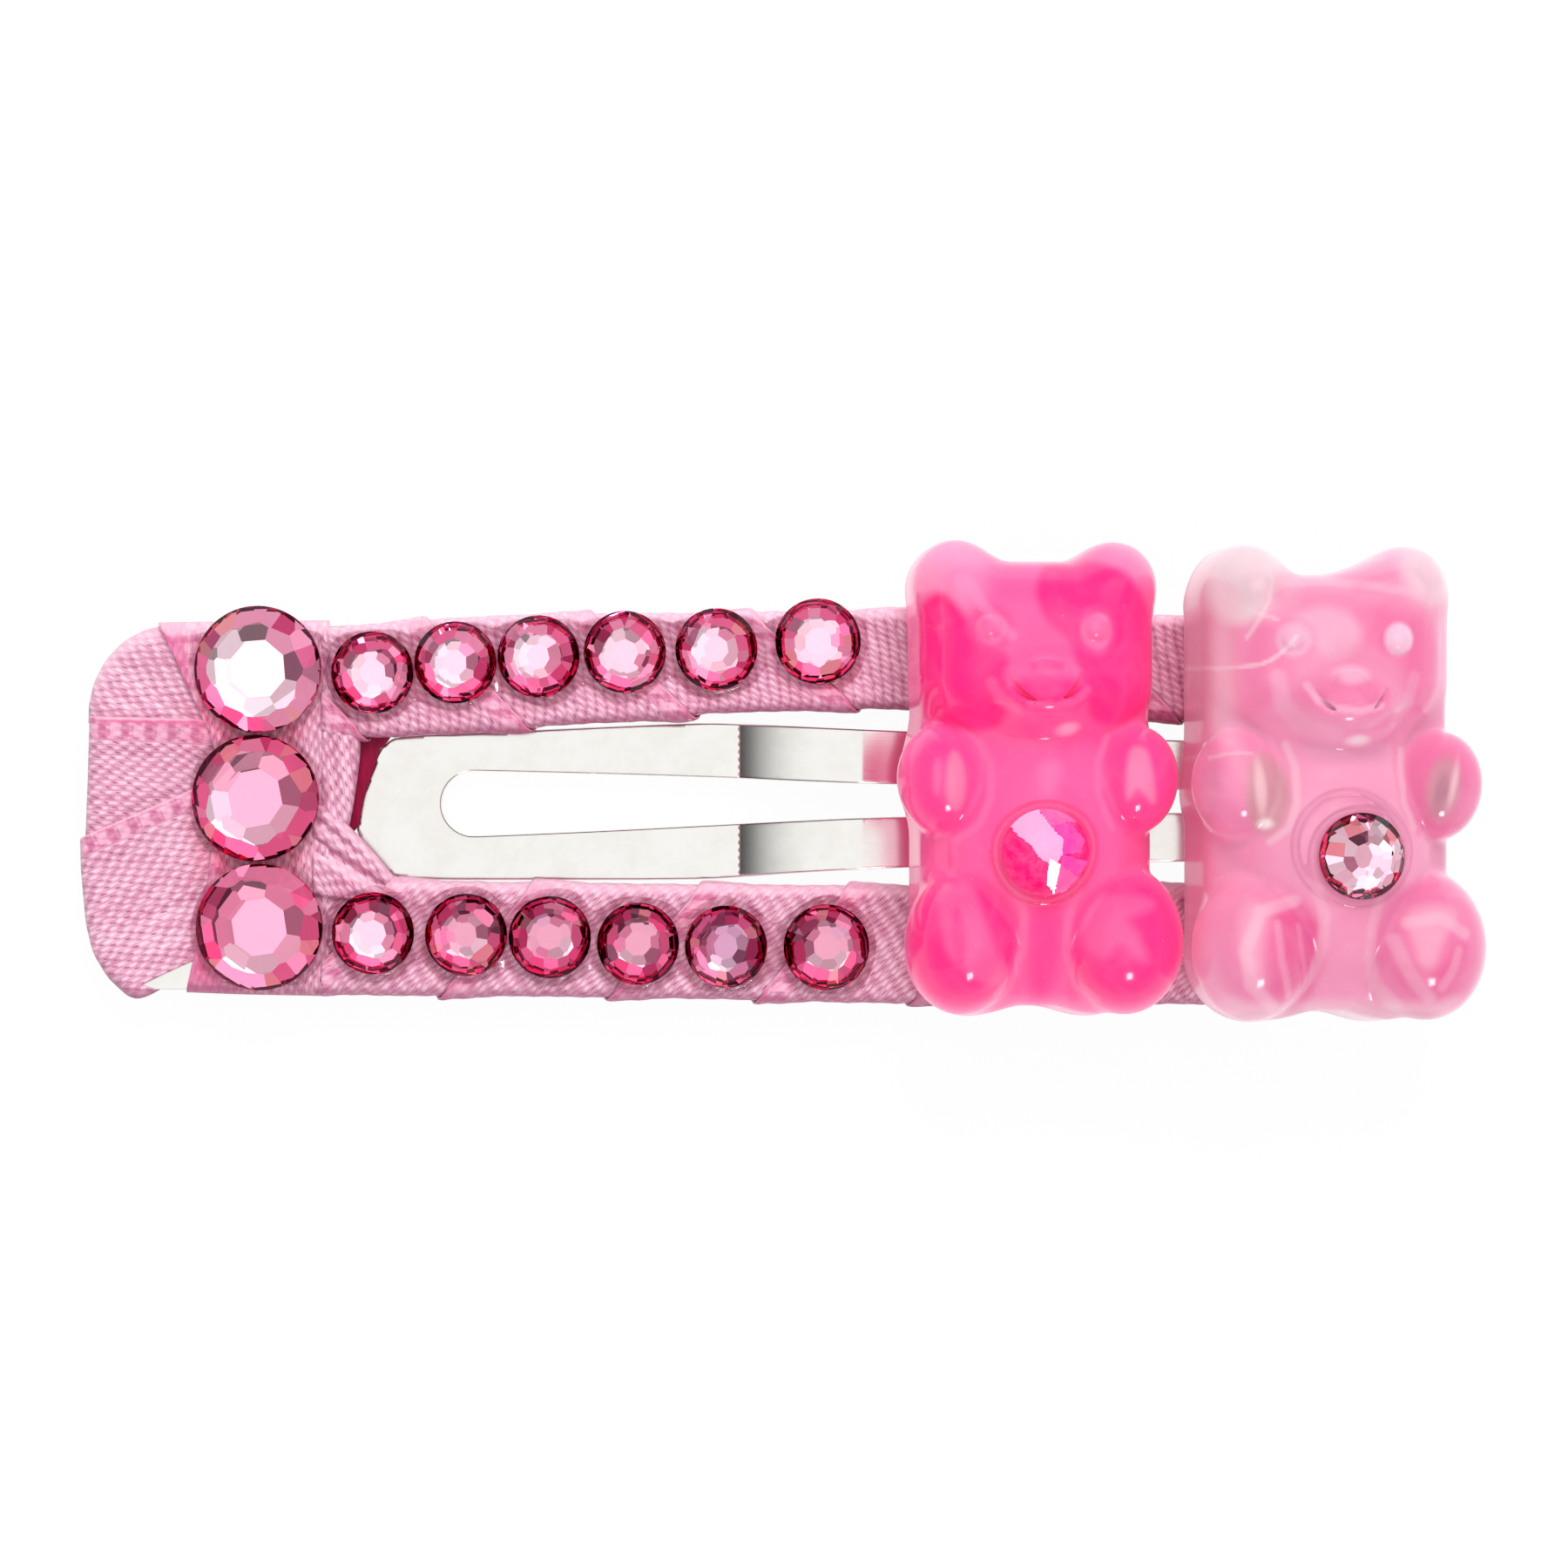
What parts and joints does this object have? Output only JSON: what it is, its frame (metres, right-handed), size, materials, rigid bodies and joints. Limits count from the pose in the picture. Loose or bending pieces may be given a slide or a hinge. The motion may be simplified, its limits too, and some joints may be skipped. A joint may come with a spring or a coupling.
{
  "type": "rhinestone hair clip",
  "caption": "Snap hair clip: ribbon-wrapped spring-steel frame with a flexing tongue, faceted pink stones and translucent resin bears glued on top.",
  "frame": {"origin": "bottom centre of the clip's box: the plane it rests on, under the middle of its length and width", "axes": "+X from the tongue's tip towards the riveted rear end, +Y across the clip towards the bears' heads, +Z out of the decorated face"},
  "size_m": [0.0508, 0.0174, 0.0104],
  "materials": {
    "spring_steel": "bright nickel-plated spring steel, lightly brushed",
    "rivet_steel": "satin nickel-plated rivets",
    "satin_ribbon": "woven satin ribbon with raised picot selvedge",
    "clear_adhesive": "clear glossy adhesive",
    "pink_stone": "faceted polished pink glass",
    "mirror_foil": "mirror foil backing",
    "pink_resin": "translucent glossy cast resin",
    "pale_pink_resin": "translucent glossy cast resin, paler towards the head"
  },
  "bodies": {
    "clip_frame": {"bear_left": "pink_resin", "bear_left_belly_glue": "clear_adhesive", "bear_left_belly_stone": "pink_stone", "bear_left_foil_back": "mirror_foil", "bear_left_glue": "clear_adhesive", "bear_right": "pale_pink_resin", "bear_right_belly_glue": "clear_adhesive", "bear_right_belly_stone": "pink_stone", "bear_right_foil_back": "mirror_foil", "bear_right_glue": "clear_adhesive", "bottom_row_stone_1": "pink_stone", "bottom_row_stone_2": "pink_stone", "bottom_row_stone_3": "pink_stone", "bottom_row_stone_4": "pink_stone", "bottom_row_stone_5": "pink_stone", "bottom_row_stone_6": "pink_stone", "foil_backs_bottom_row": "mirror_foil", "foil_backs_large": "mirror_foil", "foil_backs_top_row": "mirror_foil", "frame_spring": "spring_steel", "glue_bottom_row": "clear_adhesive", "glue_large_stones": "clear_adhesive", "glue_top_row": "clear_adhesive", "large_stone_bottom": "pink_stone", "large_stone_middle": "pink_stone", "large_stone_top": "pink_stone", "rear_rivets": "rivet_steel", "ribbon_bottom_leg": "satin_ribbon", "ribbon_crossbar_strand": "satin_ribbon", "ribbon_diagonal_strand": "satin_ribbon", "ribbon_front_corner_band": "satin_ribbon", "ribbon_front_lower_band": "satin_ribbon", "ribbon_front_middle_band": "satin_ribbon", "ribbon_front_vertical_band": "satin_ribbon", "ribbon_top_leg": "satin_ribbon", "top_row_stone_1": "pink_stone", "top_row_stone_2": "pink_stone", "top_row_stone_3": "pink_stone", "top_row_stone_4": "pink_stone", "top_row_stone_5": "pink_stone", "top_row_stone_6": "pink_stone"},
    "tongue": {"tongue_spring": "spring_steel"}
  },
  "joints": [
    {"name": "tongue_flex", "type": "hinge", "parent": "clip_frame", "child": "tongue", "pos_m": [0.01733, -0.00076, 0.00125], "axis": [0, -1, 0], "range_deg": [0, 28], "stiffness_Nm_per_rad": 0.0004}
  ]
}
